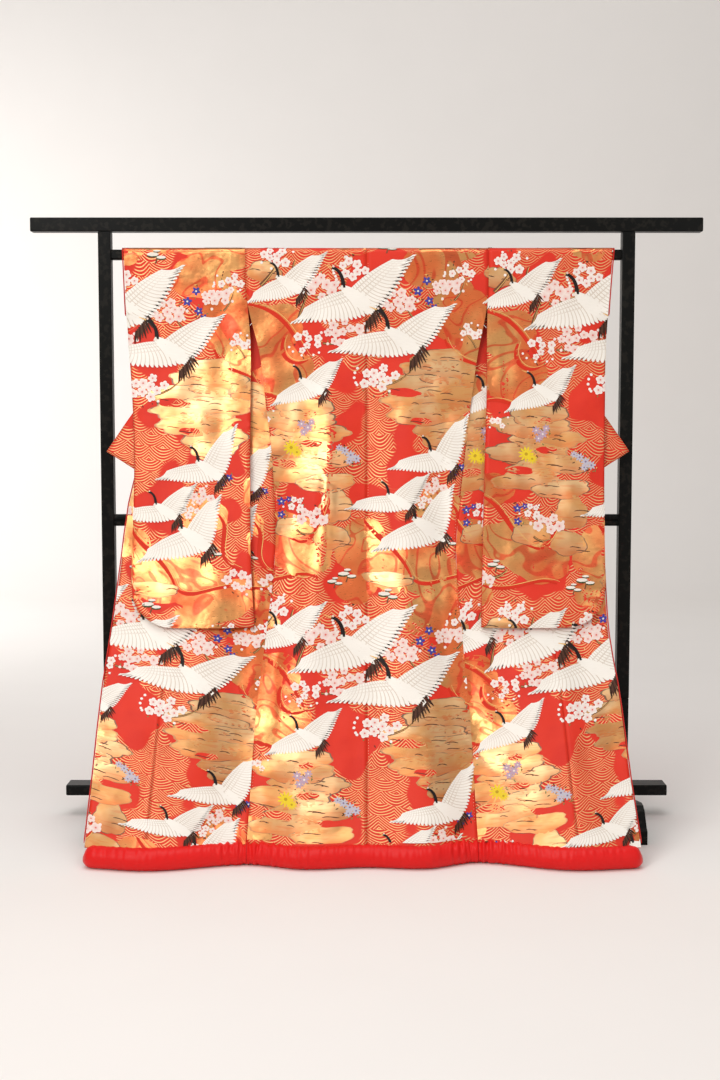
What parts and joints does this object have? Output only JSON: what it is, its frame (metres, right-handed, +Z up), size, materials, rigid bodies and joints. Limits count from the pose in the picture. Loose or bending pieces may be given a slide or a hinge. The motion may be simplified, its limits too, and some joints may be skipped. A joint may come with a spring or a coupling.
{
  "type": "uchikake wedding kimono on a kimono rack",
  "caption": "Long silk brocade over-robe hung back-out by its sleeves on a black lacquered rack, fronts opened to the sides, padded hem on the floor.",
  "frame": {"origin": "on the floor, in the middle of the outer box", "axes": "+Z up, -Y the side the robe's back faces, +X along the rack's bars to the right seen from -Y"},
  "size_m": [1.84, 0.8773, 1.662],
  "materials": {
    "brocade": "red and gold figured silk brocade, metallic threads",
    "lining": "plain deep red silk",
    "hem_silk": "plain bright red silk over padding",
    "lacquer": "black satin lacquer"
  },
  "bodies": {
    "root": {"back_left": "brocade", "back_right": "brocade", "front_left": "brocade", "front_right": "brocade", "okumi_left": "brocade", "okumi_right": "brocade", "front_shoulder_left": "brocade", "front_shoulder_right": "brocade", "collar_neck": "brocade", "collar_left": "brocade", "collar_right": "brocade", "sleeve_left": "brocade", "sleeve_right": "brocade", "lining_back": "lining", "lining_front_left": "lining", "lining_front_right": "lining", "lining_okumi_left": "lining", "lining_okumi_right": "lining", "cuff_left": "lining", "cuff_right": "lining", "front_edge_left": "lining", "front_edge_right": "lining", "hem_roll_back": "hem_silk", "hem_roll_left": "hem_silk", "hem_roll_right": "hem_silk", "top_bar": "lacquer", "board": "lacquer", "hanging_rail": "lacquer", "middle_rail": "lacquer", "post_left": "lacquer", "post_right": "lacquer", "foot_post_left": "lacquer", "foot_post_right": "lacquer", "foot_left": "lacquer", "foot_right": "lacquer"}
  },
  "joints": []
}
